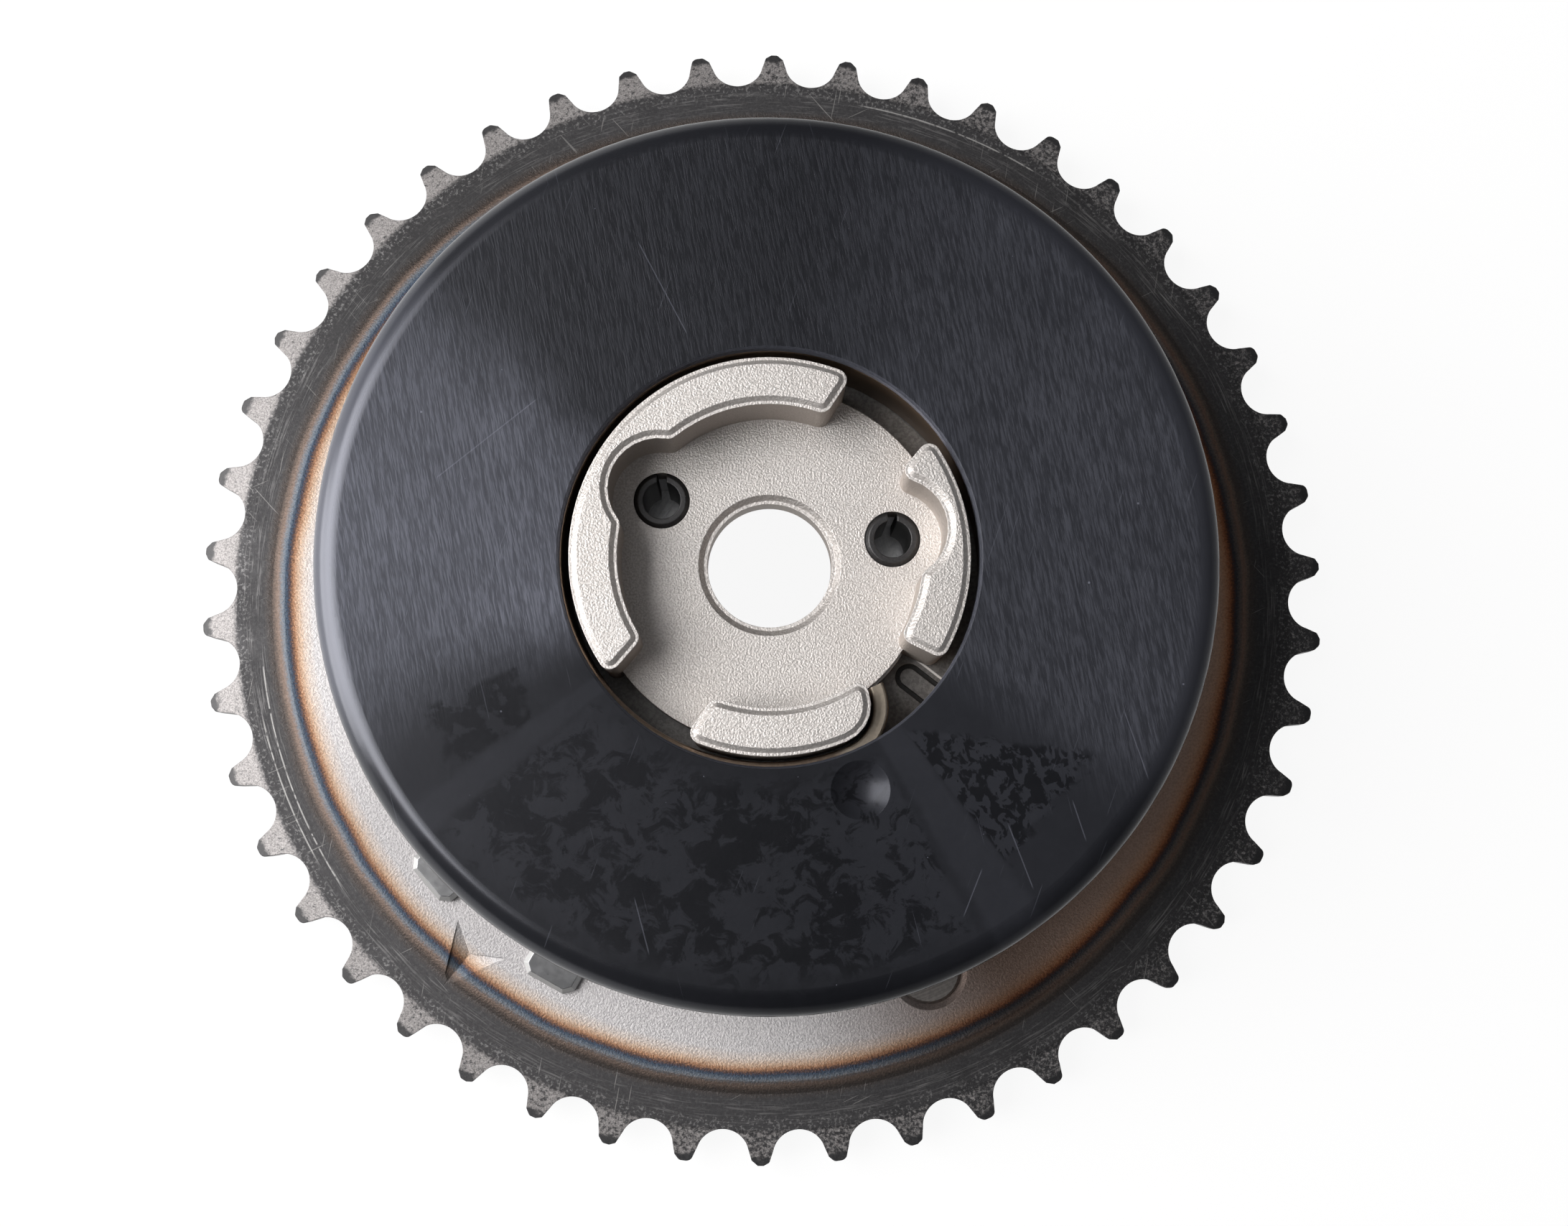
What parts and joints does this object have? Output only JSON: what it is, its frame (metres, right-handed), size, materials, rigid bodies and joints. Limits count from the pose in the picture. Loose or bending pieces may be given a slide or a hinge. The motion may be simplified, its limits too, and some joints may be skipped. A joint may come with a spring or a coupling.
{
  "type": "cam phaser",
  "caption": "Vane-type cam phaser: a roller-chain sprocket on a round housing, a black spring cover and a steel spring hub with a central bolt bore.",
  "frame": {"origin": "on the camshaft axis, in the plane of the sprocket's flat rear face, on which the part can stand", "axes": "+Z along the camshaft axis towards the spring cover and the bolt head; +X right and +Y up as the picture shows the front"},
  "size_m": [0.1418, 0.142, 0.0468],
  "materials": {
    "heat_tinted_steel": "satin blasted web with straw and blue heat tint before a dark hardened tooth ring",
    "dark_steel": "dark turned steel",
    "ground_steel": "ground",
    "sintered_steel": "sintered and machined",
    "charcoal_steel": "dark, oiled",
    "screw_steel": "phosphated",
    "rotor_steel": "machined",
    "blasted_steel": "warm satin, bead blasted with fine grain",
    "black_pin_steel": "black, satin",
    "spring_strip": "bronze-tempered with bright worn edges",
    "black_oxide": "black oxide, brushed, with scratches and smudges",
    "spring_wire": "bright wire",
    "seal_polymer": "moulded"
  },
  "bodies": {
    "housing": {"sprocket": "heat_tinted_steel", "sprocket_plug": "dark_steel", "lock_bushing": "ground_steel", "stator_housing": "sintered_steel", "front_plate": "charcoal_steel", "housing_screws": "screw_steel", "spring_cover": "black_oxide", "spring_anchor_pin": "ground_steel", "lobe_seal_1": "seal_polymer", "lobe_seal_2": "seal_polymer", "lobe_seal_3": "seal_polymer", "lobe_seal_4": "seal_polymer", "lobe_seal_spring_1": "spring_wire", "lobe_seal_spring_2": "spring_wire", "lobe_seal_spring_3": "spring_wire", "lobe_seal_spring_4": "spring_wire"},
    "rotor": {"rotor": "rotor_steel", "spring_hub": "blasted_steel", "left_spring_pin": "black_pin_steel", "right_spring_pin": "black_pin_steel", "bias_spring": "spring_strip", "lock_pin_spring": "spring_wire", "lock_pin_plug": "ground_steel", "vane_seal_1": "seal_polymer", "vane_seal_2": "seal_polymer", "vane_seal_3": "seal_polymer", "vane_seal_4": "seal_polymer", "vane_seal_spring_1": "spring_wire", "vane_seal_spring_2": "spring_wire", "vane_seal_spring_3": "spring_wire", "vane_seal_spring_4": "spring_wire"},
    "lock_pin": {"lock_pin": "ground_steel"}
  },
  "joints": [
    {"name": "rotor_turn", "type": "hinge", "parent": "housing", "child": "rotor", "pos_m": [0, 0, 0.018], "axis": [0, 0, 1], "range_deg": [0, 30], "stiffness_Nm_per_rad": 1.2, "springref_deg": -57.3, "deforming": ["bias_spring"]},
    {"name": "lock_pin_slide", "type": "slide", "parent": "rotor", "child": "lock_pin", "axis": [0, 0, 1], "range_m": [0, 0.004], "stiffness_N_per_m": 500, "springref_m": -0.01, "deforming": ["lock_pin_spring"]}
  ]
}
